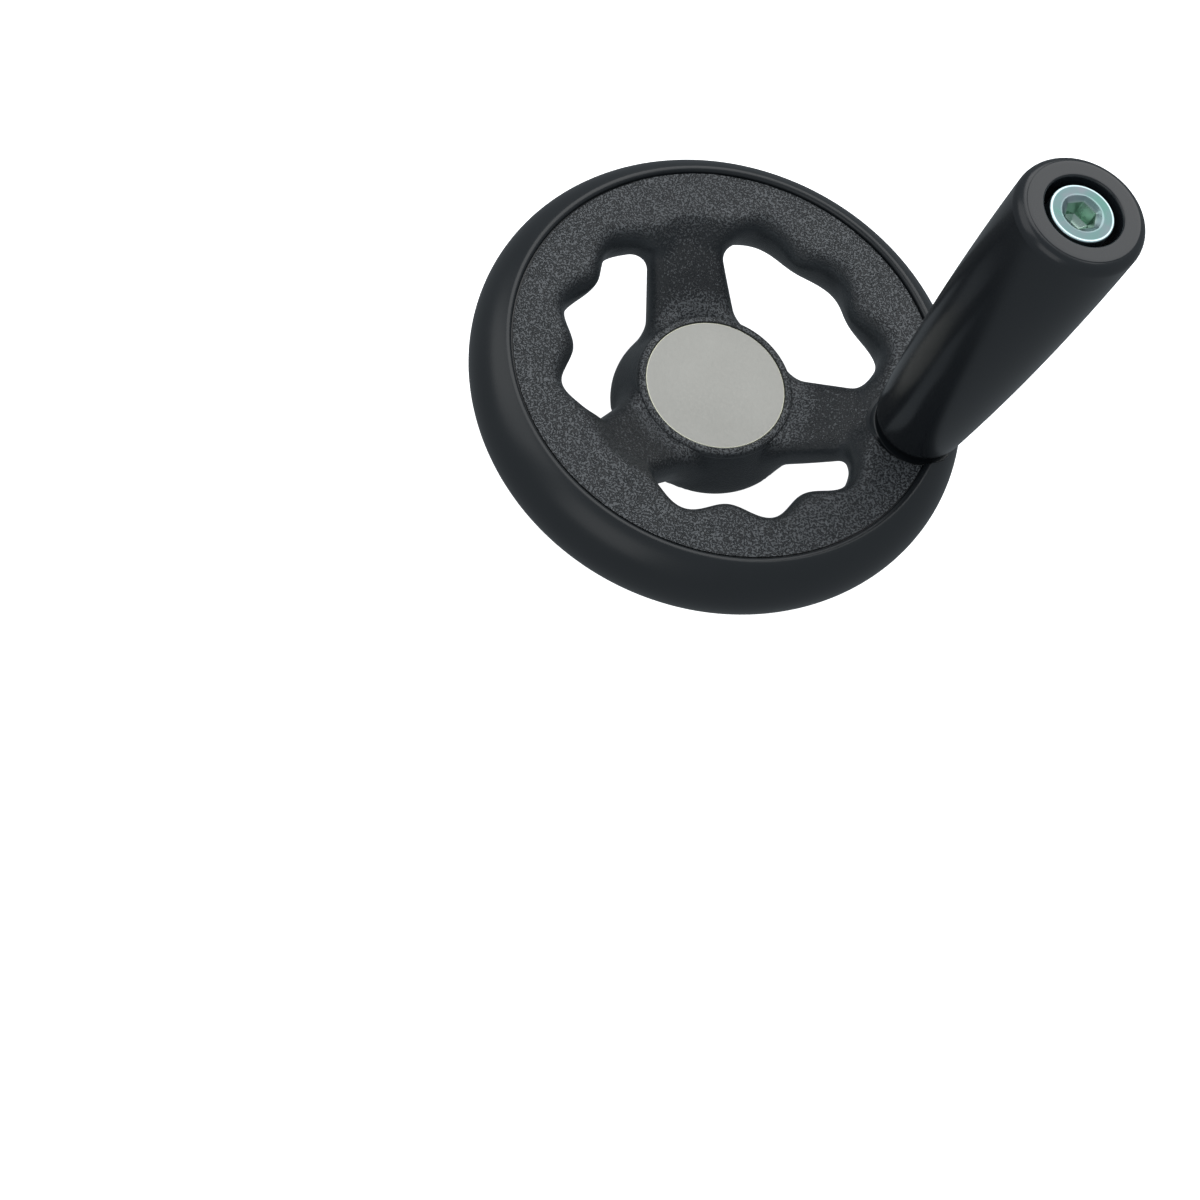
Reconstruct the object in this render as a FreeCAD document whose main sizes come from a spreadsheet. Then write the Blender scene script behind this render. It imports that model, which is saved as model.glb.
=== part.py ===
"""Machine handwheel with a revolving handle, 125 mm across.

Millimetres. The origin is the centre of the hub sleeve's back end, +Z runs along the shaft
towards the front of the wheel, and +X points at the handle.
"""
import FreeCAD, Part
import math
import os
import Sketcher
from FreeCAD import Placement, Rotation, Vector

document = FreeCAD.newDocument("Handwheel")
sheet = document.addObject("Spreadsheet::Sheet", "Sizes")

SIZES = [
    # The rim: a round section with a smooth lip, a fine seam and a sloping band inside it
    ("rim_radius", 62.5, "outer radius of the wheel"),
    ("rim_section", 12.4, "radius of the rim's round section"),
    ("rim_middle", 31.0, "height of the rim's middle plane"),
    ("lip_round", 0.8, "rounding on the inside of the lip"),
    ("seam_inset", 9.5, "from the outer radius in to the seam groove's inner wall"),
    ("seam_width", 0.6, "width of the seam groove"),
    ("seam_depth", 0.6, "depth of the seam groove"),
    ("band_rise", 10.5, "height of the band at the seam, above the rim's middle"),
    ("front_rise", 9.6, "height of the front band at its inner edge, above the rim's middle"),
    ("inner_depth", 9.2, "thickness of the rim at its inner edge, before the waves are cut"),
    ("band_inset", 25.5, "from the outer radius in to the end of the band, inside the waves"),
    # The finger waves round the inside of the rim
    ("tip_inset", 24.7, "from the outer radius in to the waves' tips"),
    ("wave_depth", 3.8, "depth of the waves from tip to root"),
    ("tip_round", 7.0, "rounding of the waves' tips"),
    ("wave_count", 12, "waves round the rim"),
    ("rim_round", 5.2, "rounding of the rim's inner edges"),
    # The hub, laid out from the sleeve that it holds
    ("hub_front", 27.0, "height of the hub's front ring"),
    ("ring_wall", 2.75, "width of the front ring outside the disc's recess"),
    ("ring_round", 0.9, "rounding of the front ring's edge"),
    ("flank_curve", 70.0, "radius of the flank's long curve"),
    ("shoulder_wall", 8.5, "thickness of the hub round the sleeve at its widest"),
    ("shoulder_height", 17.8, "height of the flank's largest radius"),
    ("shoulder_round", 4.4, "rounding from the flank in to the neck"),
    ("neck_wall", 2.8, "thickness of the hub round the sleeve at the neck"),
    ("neck_length", 0.7, "length of the neck in front of the flange"),
    ("flange_wall", 3.6, "width of the back flange round the sleeve"),
    ("flange_round", 1.0, "rounding of the back flange"),
    ("flange_back", 10.5, "height of the flange's back face"),
    ("flange_thickness", 3.2, "thickness of the flange"),
    # The three spokes
    ("spoke_count", 3, "spokes"),
    ("spoke_root", 0.6, "from the sleeve out to the start of a spoke, inside the hub's wall"),
    ("waist_reach", 32.0, "radius of a spoke's narrowest section"),
    ("rim_reach", 17.0, "from the outer radius in to a spoke's end, inside the rim"),
    ("hub_half", 12.8, "half width of a spoke at the hub"),
    ("waist_half", 10.3, "half width of a spoke at its waist"),
    ("end_half", 9.5, "half width of a spoke at the rim"),
    ("hub_drop", 3.0, "front of a spoke at the hub, below the front ring"),
    ("hub_depth", 11.0, "depth of a spoke at the hub"),
    ("waist_rise", 3.5, "front of a spoke at its waist, above the rim's middle"),
    ("waist_depth", 12.0, "depth of a spoke at its waist"),
    ("end_rise", 9.9, "front of a spoke at the rim, above the rim's middle"),
    ("end_depth", 6.0, "depth of a spoke at the rim"),
    ("spoke_round", 4.7, "rounding of a spoke's edges"),
    # The handle's seat on the rim
    ("handle_inset", 14.2, "from the outer radius in to the handle's axis"),
    ("pad_height", 9.0, "height of the front pad above the rim's middle"),
    ("boss_depth", 9.9, "depth of the back boss below the rim's middle"),
    ("pad_radius", 10.4, "radius of the front pad"),
    ("foot_room", 1.0, "from the pad's edge out to the cut that clears the grip's foot"),
    ("boss_radius", 9.4, "radius of the back boss"),
    # The brass insert
    ("insert_wall", 1.1, "wall of the brass insert round its thread"),
    ("thread_radius", 4.0, "outer radius of the insert's thread, cut as a plain bore"),
    ("insert_chamfer", 0.5, "chamfer at the insert's back mouth"),
    # The sleeve in the hub
    ("sleeve_radius", 15.6, "outer radius of the sleeve"),
    ("shaft_radius", 8.0, "radius of the shaft bore"),
    ("shaft_chamfer", 0.9, "chamfer of the shaft bore"),
    ("sleeve_chamfer", 0.7, "chamfer of the sleeve's outer edge"),
    ("screw_radius", 3.0, "outer radius of the set-screw thread, cut as a plain bore"),
    ("screw_height", 5.2, "height of the set-screw hole"),
    ("screw_angle", 54.0, "turn of the set-screw hole from the handle's spoke"),
    # The disc that covers the hub
    ("disc_lap", 2.4, "width of the disc's seat outside the sleeve"),
    ("disc_thickness", 1.0, "thickness of the cover disc"),
    ("disc_clear", 0.05, "room round the cover disc"),
    ("disc_sink", 0.3, "depth of the disc's face below the front ring"),
    ("disc_edge", 0.25, "rounding of the cover disc's edge"),
    # The revolving grip
    ("grip_gap", 0.3, "running gap between the grip's foot and the pad"),
    ("grip_length", 85.5, "length of the grip"),
    ("foot_radius", 8.8, "radius of the grip's foot"),
    ("foot_height", 4.6, "height of the foot's rounding"),
    ("foot_round", 5.6, "rounding of the foot"),
    ("grip_low", 11.3, "radius of the grip above its foot"),
    ("grip_high", 13.55, "radius of the grip under its top edge"),
    ("grip_barrel", 780.0, "radius of the grip's long barrel curve"),
    ("top_flat", 11.7, "radius of the flat end face"),
    ("top_height", 2.6, "height of the rounded top edge"),
    ("top_round", 2.5, "rounding of the top edge"),
    ("head_room", 1.7, "room round the screw's head in the counterbore"),
    ("bore_room", 0.06, "running clearance round the spindle's shank"),
    # The spindle: a shoulder screw with a hexagon socket
    ("shank_radius", 5.0, "radius of the spindle's shank"),
    ("head_radius", 6.5, "radius of the spindle's head"),
    ("head_height", 8.0, "height of the spindle's head"),
    ("head_chamfer", 0.7, "chamfer of the head's edge"),
    ("head_sink", 0.8, "depth of the head below the grip's end"),
    ("head_gap", 0.2, "running gap under the head"),
    ("socket_radius", 3.46, "radius over the hexagon socket's corners"),
    ("socket_depth", 4.5, "depth of the hexagon socket"),
    ("screw_end", 14.0, "length of the spindle's threaded end"),
    ("thread_clear", 0.04, "room between the spindle's end and the insert's bore"),
]
for row, (alias, value, meaning) in enumerate(SIZES, start=1):
    sheet.set(f"A{row}", alias)
    sheet.set(f"B{row}", str(value))
    sheet.set(f"C{row}", meaning)
    sheet.setAlias(f"B{row}", alias)
document.recompute()

# Places that several pieces share, as sums of the sizes
SEAM = "rim_radius - seam_inset"
LIP_WALL = "rim_radius - seam_inset + seam_width"
HANDLE = "rim_radius - handle_inset"
DISC_RIM = "sleeve_radius + disc_lap"
SEAT = "hub_front - disc_sink - disc_thickness"
INSERT_WALL = "thread_radius + insert_wall"
HEAD_FLOOR = "grip_length - head_sink - head_height"


def measure(text):
    """Number and sheet formula for a sum of sizes, such as 'rim_middle + band_rise'."""
    number = 0.0
    sign = 1.0
    words = []
    for word in text.split():
        if word in ("+", "-"):
            sign = 1.0 if word == "+" else -1.0
            words.append(word)
        elif word == "0":
            words.append(word)
        else:
            number += sign * sheet.get(word)
            words.append("Sizes." + word)
    return number, " ".join(words)


def new_body(name):
    body = document.addObject("PartDesign::Body", name)
    body.Label = name
    return body


def plane(body, role):
    """One of the body's own origin planes."""
    return next(f for f in body.Origin.OriginFeatures if f.Role == role)


def new_sketch(body, name, role, offset=None):
    """A sketch on one of the body's planes, moved along the plane's normal by a named sum."""
    sketch = body.newObject("Sketcher::SketchObject", name)
    sketch.AttachmentSupport = [(plane(body, role), "")]
    sketch.MapMode = "FlatFace"
    if offset:
        number, formula = measure(offset)
        sketch.AttachmentOffset = Placement(Vector(0, 0, number), Rotation())
        sketch.setExpression(".AttachmentOffset.Base.z", formula)
    return sketch


def bind(sketch, kind, targets, text):
    """One dimension of the sketch, tied to a sum of sizes."""
    number, formula = measure(text)
    index = sketch.addConstraint(Sketcher.Constraint(kind, *targets, number))
    sketch.setExpression(f"Constraints[{index}]", formula)


def place(sketch, side, end, across, up):
    """Ties one end of a side to its two distances from the origin; "0" puts it on an axis."""
    if across == "0":
        sketch.addConstraint(Sketcher.Constraint("PointOnObject", side, end, -2))
    else:
        bind(sketch, "DistanceX", (-1, 1, side, end), across)
    if up == "0":
        sketch.addConstraint(Sketcher.Constraint("PointOnObject", side, end, -1))
    else:
        bind(sketch, "DistanceY", (-1, 1, side, end), up)


def arc_between(start, end, radius):
    """The short arc from start to end; a positive radius curves to the left of the way."""
    chord = end - start
    half = chord.Length / 2
    side = Vector(-chord.y, chord.x, 0).normalize()
    rise = math.sqrt(max(radius * radius - half * half, 0.0))
    centre = (start + end) * 0.5 + side * (rise if radius > 0 else -rise)
    first, last = (start, end) if radius > 0 else (end, start)
    angles = [math.atan2(p.y - centre.y, p.x - centre.x) for p in (first, last)]
    circle = Part.Circle(centre, Vector(0, 0, 1), abs(radius))
    return Part.ArcOfCircle(circle, angles[0], angles[1])


def outline(sketch, corners):
    """Closed outline through (across, up, round) corners, each tied to the sheet.

    round is None for a straight side to the next corner, or a signed size for an arc.
    """
    points = [Vector(measure(across)[0], measure(up)[0], 0) for across, up, turn in corners]
    ends = []
    for i, (across, up, turn) in enumerate(corners):
        start, end = points[i], points[(i + 1) % len(points)]
        if turn is None:
            line = sketch.addGeometry(Part.LineSegment(start, end))
            ends.append((line, 1, 2))
            continue
        sign = -1.0 if turn.startswith("-") else 1.0
        size = turn.lstrip("-")
        arc = sketch.addGeometry(arc_between(start, end, sign * measure(size)[0]))
        ends.append((arc, 1, 2) if sign > 0 else (arc, 2, 1))
    for i, (side, first, last) in enumerate(ends):
        after, begin, _ = ends[(i + 1) % len(ends)]
        sketch.addConstraint(Sketcher.Constraint("Coincident", side, last, after, begin))
    for (across, up, turn), (side, first, last) in zip(corners, ends):
        place(sketch, side, first, across, up)
        if turn:
            bind(sketch, "Radius", (side,), turn.lstrip("-"))


def revolve(body, name, corners):
    """A turned solid: the outline in the XZ plane, turned about Z."""
    sketch = new_sketch(body, name + "_section", "XZ_Plane")
    outline(sketch, corners)
    turned = body.newObject("PartDesign::Revolution", name)
    turned.Profile = sketch
    turned.ReferenceAxis = (sketch, ["V_Axis"])
    turned.Angle = 360
    document.recompute()
    return turned


def ring_sketch(body, name, centre, radius, offset=None):
    """A circle on the XY plane, its centre on the X axis."""
    sketch = new_sketch(body, name, "XY_Plane", offset)
    middle = Vector(measure(centre)[0], 0, 0)
    ring = sketch.addGeometry(Part.Circle(middle, Vector(0, 0, 1), measure(radius)[0]))
    place(sketch, ring, 3, centre, "0")
    bind(sketch, "Radius", (ring,), radius)
    return sketch


def bore_through(body, name, centre, radius):
    """A round hole all the way through, parallel to the wheel's axis."""
    pocket = body.newObject("PartDesign::Pocket", name)
    pocket.Profile = ring_sketch(body, name + "_circle", centre, radius)
    pocket.Type = "ThroughAll"
    pocket.Midplane = True
    document.recompute()
    return pocket


def extrude(body, kind, name, sketch, length, reverse=False):
    """A Pad or Pocket of one length from a sketch."""
    feature = body.newObject("PartDesign::" + kind, name)
    feature.Profile = sketch
    feature.Reversed = reverse
    number, formula = measure(length)
    feature.Length = number
    feature.setExpression("Length", formula)
    document.recompute()
    return feature


def wave_arcs():
    """Arcs of the finger waves: inward tips and outward roots, tangent to each other.

    A tip's circle and a root's circle touch, so the root's radius follows from the law of
    cosines in the triangle of the two centres and the wheel's axis.
    """
    tip = measure("rim_radius - tip_inset")[0]
    root = tip + sheet.get("wave_depth")
    tip_round = sheet.get("tip_round")
    count = int(sheet.get("wave_count"))
    half_step = math.pi / count
    reach = tip + tip_round
    turn = math.cos(half_step)
    total = root + tip_round
    centre = (total * total - reach * reach) / (2 * (total - reach * turn))
    root_round = root - centre
    for k in range(count):
        middle = 2 * half_step * k
        yield polar(centre, middle), root_round, polar(reach, middle - half_step), 1
        yield polar(reach, middle + half_step), tip_round, polar(centre, middle), -1


def polar(radius, angle):
    return Vector(radius * math.cos(angle), radius * math.sin(angle), 0)


def wave_outline(sketch):
    """The finger waves as one closed chain of arcs round the wheel's axis."""
    arcs = list(wave_arcs())
    touches = []
    for centre, radius, other, side in arcs:
        away = (other - centre).normalize()
        touches.append(centre + away * radius)
    for i, (centre, radius, other, side) in enumerate(arcs):
        here, there = touches[i], touches[(i + 1) % len(arcs)]
        first, last = (here, there) if side > 0 else (there, here)
        angles = [math.atan2(p.y - centre.y, p.x - centre.x) for p in (first, last)]
        circle = Part.Circle(centre, Vector(0, 0, 1), radius)
        arc = sketch.addGeometry(Part.ArcOfCircle(circle, angles[0], angles[1]))
        sketch.addConstraint(Sketcher.Constraint("Block", arc))


def derive(name, value, meaning):
    """Adds a size that follows from others, such as the height of a tangent point."""
    row = next(n for n in range(len(SIZES) + 1, len(SIZES) + 99) if not sheet.getContents(f"A{n}"))
    sheet.set(f"A{row}", name)
    sheet.set(f"B{row}", str(value))
    sheet.set(f"C{row}", meaning)
    sheet.setAlias(f"B{row}", name)
    document.recompute()


def derive_lip():
    """The lip's round touches its inner wall and the rim's round section from within."""
    inner_round = sheet.get("rim_section") - sheet.get("lip_round")
    away = measure("seam_width - seam_inset + lip_round + rim_section")[0]
    rise = math.sqrt(inner_round ** 2 - away ** 2)
    outward = sheet.get("rim_section") / inner_round
    derive("lip_rise", rise, "height of the centre of the lip's round above the rim's middle")
    derive("touch_rise", rise * outward, "height at which the lip meets the round section")
    derive("touch_radius", measure("rim_radius - rim_section")[0] + away * outward,
           "radius at which the lip meets the round section")


def build_rim(body):
    """The rim turned, its finger waves cut through and their edges rounded."""
    derive_lip()
    revolve(body, "rim", [
        ("rim_radius - band_inset", "rim_middle + front_rise - inner_depth", None),
        (SEAM, "rim_middle - band_rise", None),
        (SEAM, "rim_middle - band_rise + seam_depth", None),
        (LIP_WALL, "rim_middle - band_rise + seam_depth", None),
        (LIP_WALL, "rim_middle - lip_rise", "lip_round"),
        ("touch_radius", "rim_middle - touch_rise", "rim_section"),
        ("rim_radius", "rim_middle", "rim_section"),
        ("touch_radius", "rim_middle + touch_rise", "lip_round"),
        (LIP_WALL, "rim_middle + lip_rise", None),
        (LIP_WALL, "rim_middle + band_rise - seam_depth", None),
        (SEAM, "rim_middle + band_rise - seam_depth", None),
        (SEAM, "rim_middle + band_rise", None),
        ("rim_radius - band_inset", "rim_middle + front_rise", None),
    ])
    sketch = new_sketch(body, "wave_outline", "XY_Plane", "rim_middle")
    wave_outline(sketch)
    waves = body.newObject("PartDesign::Pocket", "finger_waves")
    waves.Profile = sketch
    waves.Type = "ThroughAll"
    waves.Midplane = True
    document.recompute()
    reach = measure("rim_radius - tip_inset + wave_depth + wave_depth")[0]
    edges = [f"Edge{n}" for n, edge in enumerate(waves.Shape.Edges, start=1)
             if all(math.hypot(v.X, v.Y) < reach for v in edge.Vertexes)
             and edge.BoundBox.ZLength < sheet.get("rim_round")]
    rounded = body.newObject("PartDesign::Fillet", "rim_rounding")
    rounded.Base = (waves, edges)
    rounded.setExpression("Radius", "Sizes.rim_round")
    document.recompute()


def spoke_section(body, name, distance, half, top, depth):
    """One rounded section of a spoke, square to its length."""
    sketch = new_sketch(body, name, "YZ_Plane", distance)
    right, left = half, "0 - " + half
    bottom = top + " - " + depth
    outline(sketch, [
        (right + " - spoke_round", bottom, "spoke_round"),
        (right, bottom + " + spoke_round", None),
        (right, top + " - spoke_round", "spoke_round"),
        (right + " - spoke_round", top, None),
        (left + " + spoke_round", top, "spoke_round"),
        (left, top + " - spoke_round", None),
        (left, bottom + " + spoke_round", "spoke_round"),
        (left + " + spoke_round", bottom, None),
    ])
    return sketch


def build_spokes(body):
    """One spoke lofted from the hub through its waist to the rim, then repeated."""
    start = spoke_section(body, "spoke_at_hub", "sleeve_radius + spoke_root", "hub_half",
                          "hub_front - hub_drop", "hub_depth")
    waist = spoke_section(body, "spoke_at_waist", "waist_reach", "waist_half",
                          "rim_middle + waist_rise", "waist_depth")
    end = spoke_section(body, "spoke_at_rim", "rim_radius - rim_reach", "end_half",
                        "rim_middle + end_rise", "end_depth")
    spoke = body.newObject("PartDesign::AdditiveLoft", "spoke")
    spoke.Profile = start
    spoke.Sections = [waist, end]
    document.recompute()
    spokes = body.newObject("PartDesign::PolarPattern", "spokes")
    spokes.Originals = [spoke]
    spokes.Axis = (plane(body, "Z_Axis"), [""])
    spokes.Angle = 360
    spokes.setExpression("Occurrences", "Sizes.spoke_count")
    body.Tip = spokes
    document.recompute()


def build_hub(body):
    """The hub's front ring, tapered flank and back flange, turned in one section."""
    flange = "sleeve_radius + flange_wall"
    neck = "sleeve_radius + neck_wall"
    ring = DISC_RIM + " + disc_clear + ring_wall"
    revolve(body, "hub", [
        ("sleeve_radius", "flange_back", None),
        (flange + " - flange_round", "flange_back", "flange_round"),
        (flange, "flange_back + flange_round", None),
        (flange, "flange_back + flange_thickness", None),
        (neck, "flange_back + flange_thickness", None),
        (neck, "flange_back + flange_thickness + neck_length", "shoulder_round"),
        ("sleeve_radius + shoulder_wall", "shoulder_height", "flank_curve"),
        (ring, "hub_front - ring_round", "ring_round"),
        (ring + " - ring_round", "hub_front", None),
        ("sleeve_radius", "hub_front", None),
    ])
    bore_through(body, "sleeve_bore", "0", "sleeve_radius")
    recess = ring_sketch(body, "disc_recess_circle", "0", DISC_RIM + " + disc_clear", "hub_front")
    extrude(body, "Pocket", "disc_recess", recess, "disc_sink + disc_thickness")


def seat_sketch(body, name, radius, offset):
    """A round seat on the handle's axis, cut off by the lip's inner wall."""
    sketch = new_sketch(body, name, "XY_Plane", offset)
    centre, size, wall = [measure(text)[0] for text in (HANDLE, radius, LIP_WALL)]
    across = (centre ** 2 + wall ** 2 - size ** 2) / (2 * centre)
    up = math.sqrt(wall ** 2 - across ** 2)
    upper, lower = Vector(across, up, 0), Vector(across, -up, 0)
    inner = Vector(centre - size, 0, 0)
    outer = Vector(wall, 0, 0)
    seat = sketch.addGeometry(Part.Arc(upper, inner, lower))
    edge = sketch.addGeometry(Part.Arc(lower, outer, upper))
    sketch.addConstraint(Sketcher.Constraint("Coincident", seat, 1, edge, 2))
    sketch.addConstraint(Sketcher.Constraint("Coincident", seat, 2, edge, 1))
    place(sketch, seat, 3, HANDLE, "0")
    sketch.addConstraint(Sketcher.Constraint("Coincident", edge, 3, -1, 1))
    bind(sketch, "Radius", (seat,), radius)
    bind(sketch, "Radius", (edge,), LIP_WALL)
    return sketch


def build_handle_seat(body):
    """The front pad under the grip, the back boss behind it, and the insert's hole."""
    pad = seat_sketch(body, "pad_outline", "pad_radius", "rim_middle")
    extrude(body, "Pad", "front_pad", pad, "pad_height")
    face = ring_sketch(body, "pad_face_circle", HANDLE, "pad_radius + foot_room",
                       "rim_middle + pad_height")
    extrude(body, "Pocket", "pad_face", face, "rim_section", reverse=True)
    boss = seat_sketch(body, "boss_outline", "boss_radius", "rim_middle")
    extrude(body, "Pad", "back_boss", boss, "boss_depth", reverse=True)
    face = seat_sketch(body, "boss_face_outline", "boss_radius", "rim_middle - boss_depth")
    extrude(body, "Pocket", "boss_face", face, "rim_section")
    bore_through(body, "insert_hole", HANDLE, INSERT_WALL)


def build_wheel():
    """The moulding: rim, spokes, hub and the handle's seat, all in one piece."""
    body = new_body("wheel_body")
    build_rim(body)
    build_spokes(body)
    build_hub(body)
    build_handle_seat(body)
    return body


def build_sleeve():
    """The turned sleeve in the hub, with its chamfers and the set-screw hole."""
    body = new_body("hub_sleeve")
    revolve(body, "sleeve", [
        ("shaft_radius + shaft_chamfer", "0", None),
        ("sleeve_radius - sleeve_chamfer", "0", None),
        ("sleeve_radius", "sleeve_chamfer", None),
        ("sleeve_radius", SEAT, None),
        ("shaft_radius", SEAT, None),
        ("shaft_radius", "shaft_chamfer", None),
    ])
    sketch = new_sketch(body, "screw_circle", "YZ_Plane")
    height, size = sheet.get("screw_height"), sheet.get("screw_radius")
    ring = sketch.addGeometry(Part.Circle(Vector(0, height, 0), Vector(0, 0, 1), size))
    place(sketch, ring, 3, "0", "screw_height")
    bind(sketch, "Radius", (ring,), "screw_radius")
    extrude(body, "Pocket", "screw_hole", sketch, "sleeve_radius + sleeve_chamfer", reverse=True)
    body.Placement = Placement(Vector(), Rotation(Vector(0, 0, 1), sheet.get("screw_angle")))
    return body


def build_disc():
    """The thin disc that covers the front of the hub."""
    body = new_body("cover_disc")
    front = "hub_front - disc_sink"
    revolve(body, "disc", [
        ("0", SEAT, None),
        (DISC_RIM, SEAT, None),
        (DISC_RIM, front + " - disc_edge", "disc_edge"),
        (DISC_RIM + " - disc_edge", front, None),
        ("0", front, None),
    ])
    return body


def at_handle(body, height):
    """Puts a body whose own axis is Z on the handle's axis."""
    across, across_formula = measure(HANDLE)
    number, formula = measure(height)
    body.Placement = Placement(Vector(across, 0, number), Rotation())
    body.setExpression(".Placement.Base.x", across_formula)
    body.setExpression(".Placement.Base.z", formula)


def build_insert():
    """The brass insert moulded into the rim under the handle, from the boss to the pad."""
    body = new_body("handle_insert")
    top = "boss_depth + pad_height"
    revolve(body, "insert", [
        ("thread_radius + insert_chamfer", "0", None),
        (INSERT_WALL, "0", None),
        (INSERT_WALL, top, None),
        ("thread_radius", top, None),
        ("thread_radius", "insert_chamfer", None),
    ])
    at_handle(body, "rim_middle - boss_depth")
    return body


def build_grip():
    """The revolving grip: a foot, a long barrel and a rounded end with its counterbore."""
    body = new_body("handle_grip")
    floor = HEAD_FLOOR + " - head_gap"
    bore = "shank_radius + bore_room"
    counterbore = "head_radius + head_room"
    revolve(body, "grip", [
        (bore, "0", None),
        ("foot_radius", "0", "foot_round"),
        ("grip_low", "foot_height", "grip_barrel"),
        ("grip_high", "grip_length - top_height", "top_round"),
        ("top_flat", "grip_length", None),
        (counterbore, "grip_length", None),
        (counterbore, floor, None),
        (bore, floor, None),
    ])
    at_handle(body, "rim_middle + pad_height + grip_gap")
    return body


def hexagon(sketch, radius):
    """A regular hexagon about the origin, sized over its corners."""
    size = sheet.get(radius)
    circle = sketch.addGeometry(Part.Circle(Vector(), Vector(0, 0, 1), size), True)
    sketch.addConstraint(Sketcher.Constraint("Coincident", circle, 3, -1, 1))
    bind(sketch, "Radius", (circle,), radius)
    corners = [polar(size, math.radians(60 * k)) for k in range(6)]
    sides = [sketch.addGeometry(Part.LineSegment(corners[k - 1], corners[k])) for k in range(6)]
    for k, side in enumerate(sides):
        sketch.addConstraint(Sketcher.Constraint("Coincident", side, 2, sides[(k + 1) % 6], 1))
        sketch.addConstraint(Sketcher.Constraint("PointOnObject", side, 1, circle))
        if k:
            sketch.addConstraint(Sketcher.Constraint("Equal", sides[0], side))
    sketch.addConstraint(Sketcher.Constraint("PointOnObject", sides[1], 1, -1))


def build_spindle():
    """The shoulder screw that the grip turns on, its thread's end in the insert."""
    body = new_body("handle_spindle")
    under = "grip_gap + " + HEAD_FLOOR
    crown = under + " + head_height"
    thread = "thread_radius - thread_clear"
    revolve(body, "spindle", [
        ("0", "0 - screw_end", None),
        (thread, "0 - screw_end", None),
        (thread, "0", None),
        ("shank_radius", "0", None),
        ("shank_radius", under, None),
        ("head_radius", under, None),
        ("head_radius", crown + " - head_chamfer", None),
        ("head_radius - head_chamfer", crown, None),
        ("0", crown, None),
    ])
    sketch = new_sketch(body, "socket_outline", "XY_Plane", crown)
    hexagon(sketch, "socket_radius")
    extrude(body, "Pocket", "socket", sketch, "socket_depth")
    at_handle(body, "rim_middle + pad_height")
    return body


def check_and_write(parts):
    """Stops if any object failed, then writes each part's shape to its own file."""
    document.recompute()
    for item in document.Objects:
        if "Invalid" in item.State or "Error" in item.State:
            raise RuntimeError(f"{item.Name} failed: {item.State}")
    os.makedirs("parts", exist_ok=True)
    for part in parts:
        shape = part.Shape
        if shape.isNull() or not shape.isValid() or len(shape.Solids) != 1:
            raise RuntimeError(f"{part.Label} is not one valid solid")
        shape.exportStep(f"parts/{part.Label}.step")
        box = shape.BoundBox
        print(part.Label, round(shape.Volume), [round(v, 2) for v in (
            box.XMin, box.YMin, box.ZMin, box.XMax, box.YMax, box.ZMax)])


check_and_write([
    build_wheel(),
    build_sleeve(),
    build_disc(),
    build_insert(),
    build_grip(),
    build_spindle(),
])
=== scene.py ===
"""A machine handwheel with a revolving handle: its fine forms, finishes, light and camera.

Lengths in the shape functions are millimetres, as the object is drawn, and become metres when a
mesh is made. Heights are from the hub sleeve's back end; +X points at the handle.
"""
import math

import bmesh
import bpy
import numpy as np
from mathutils import Matrix, Vector


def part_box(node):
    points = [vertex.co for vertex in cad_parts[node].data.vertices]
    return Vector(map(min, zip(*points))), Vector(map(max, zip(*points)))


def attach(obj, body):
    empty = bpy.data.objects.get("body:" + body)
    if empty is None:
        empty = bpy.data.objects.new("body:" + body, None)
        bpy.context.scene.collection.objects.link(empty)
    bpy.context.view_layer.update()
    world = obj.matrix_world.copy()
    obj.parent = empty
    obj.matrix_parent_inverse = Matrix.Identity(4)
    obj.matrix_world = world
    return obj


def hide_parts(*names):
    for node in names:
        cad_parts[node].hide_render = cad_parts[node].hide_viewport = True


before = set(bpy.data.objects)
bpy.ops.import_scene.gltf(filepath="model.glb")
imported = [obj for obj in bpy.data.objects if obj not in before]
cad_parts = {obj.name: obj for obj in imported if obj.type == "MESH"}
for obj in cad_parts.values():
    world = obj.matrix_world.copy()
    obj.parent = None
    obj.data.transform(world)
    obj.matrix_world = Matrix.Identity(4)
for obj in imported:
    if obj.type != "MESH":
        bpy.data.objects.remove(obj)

MM = 0.001
TURN = 2 * math.pi
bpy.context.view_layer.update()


def node_box(name):
    """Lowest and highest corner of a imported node, in millimetres."""
    low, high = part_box(name)
    return np.array(low) / MM, np.array(high) / MM


WHEEL_LOW, WHEEL_HIGH = node_box("wheel_body")
GRIP_LOW, GRIP_HIGH = node_box("handle_grip")
SLEEVE_HIGH = node_box("hub_sleeve")[1]
DISC_LOW, DISC_HIGH = node_box("cover_disc")
INSERT_LOW, INSERT_HIGH = node_box("handle_insert")
SPINDLE_LOW, SPINDLE_HIGH = node_box("handle_spindle")

# The rim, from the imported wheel's width and its front. The seam is the groove between the smooth
# outside and the grained band, and the lip is the outside's edge beside it.
RIM_RADIUS = WHEEL_HIGH[0]
RIM_SECTION = 12.4
RIM_MIDDLE = WHEEL_HIGH[2] - RIM_SECTION
LIP_ROUND = 1.1
SEAM_RADIUS = RIM_RADIUS - 9.25
SEAM_WIDTH = 0.35
SEAM_DEPTH = 0.42
LIP_WALL = SEAM_RADIUS + SEAM_WIDTH

# The band's distance from the rim's middle at the seam, and at its inner end in front and behind
BAND_RISE = 10.5
FRONT_INNER = 9.6
BACK_INNER = -0.4
BAND_START = RIM_RADIUS - 25.5

# The finger waves of the rim's inner wall
WAVE_MIDDLE = RIM_RADIUS - 22.85
WAVE_HEIGHT = 1.9
WAVE_COUNT = 12
RIM_ROUND = 5.2

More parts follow.
